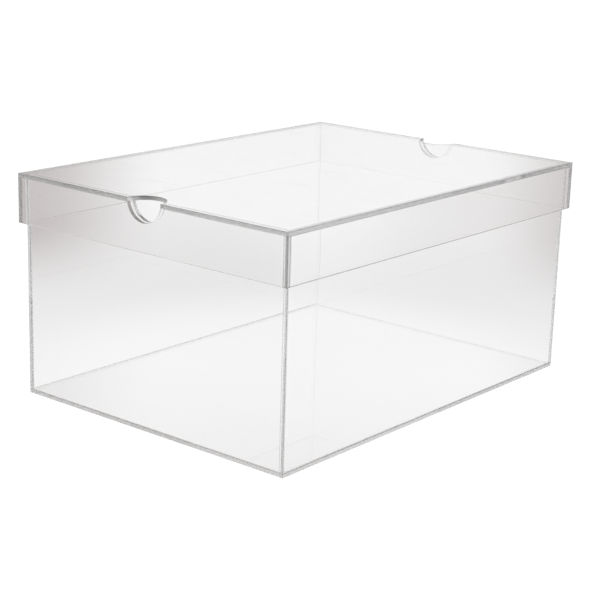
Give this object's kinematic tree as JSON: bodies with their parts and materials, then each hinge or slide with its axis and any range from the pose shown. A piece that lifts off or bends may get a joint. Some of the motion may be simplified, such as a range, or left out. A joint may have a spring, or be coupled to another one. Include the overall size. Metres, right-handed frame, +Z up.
{
  "type": "shoe box",
  "caption": "Clear acrylic shoe display box: a tall open box of bonded flat panels, and a lift-off lid with deep sides and half-round finger notches at both short ends.",
  "frame": {"origin": "middle of the underside of the base, on the surface the box stands on", "axes": "+X along the length of the box, +Y across it towards the back wall, +Z up, the way the lid lifts"},
  "size_m": [0.35, 0.258, 0.169],
  "materials": {
    "box_acrylic": "gloss",
    "lid_acrylic": "gloss"
  },
  "bodies": {
    "box": {"base_panel": "box_acrylic", "front_wall": "box_acrylic", "back_wall": "box_acrylic", "left_end_wall": "box_acrylic", "right_end_wall": "box_acrylic"},
    "lid": {"lid_top": "lid_acrylic", "lid_front_skirt": "lid_acrylic", "lid_back_skirt": "lid_acrylic", "lid_left_skirt": "lid_acrylic", "lid_right_skirt": "lid_acrylic"}
  },
  "joints": [
    {"name": "lid_lift", "type": "slide", "parent": "box", "child": "lid", "axis": [0, 0, 1], "range_m": [0, 0.2]}
  ]
}
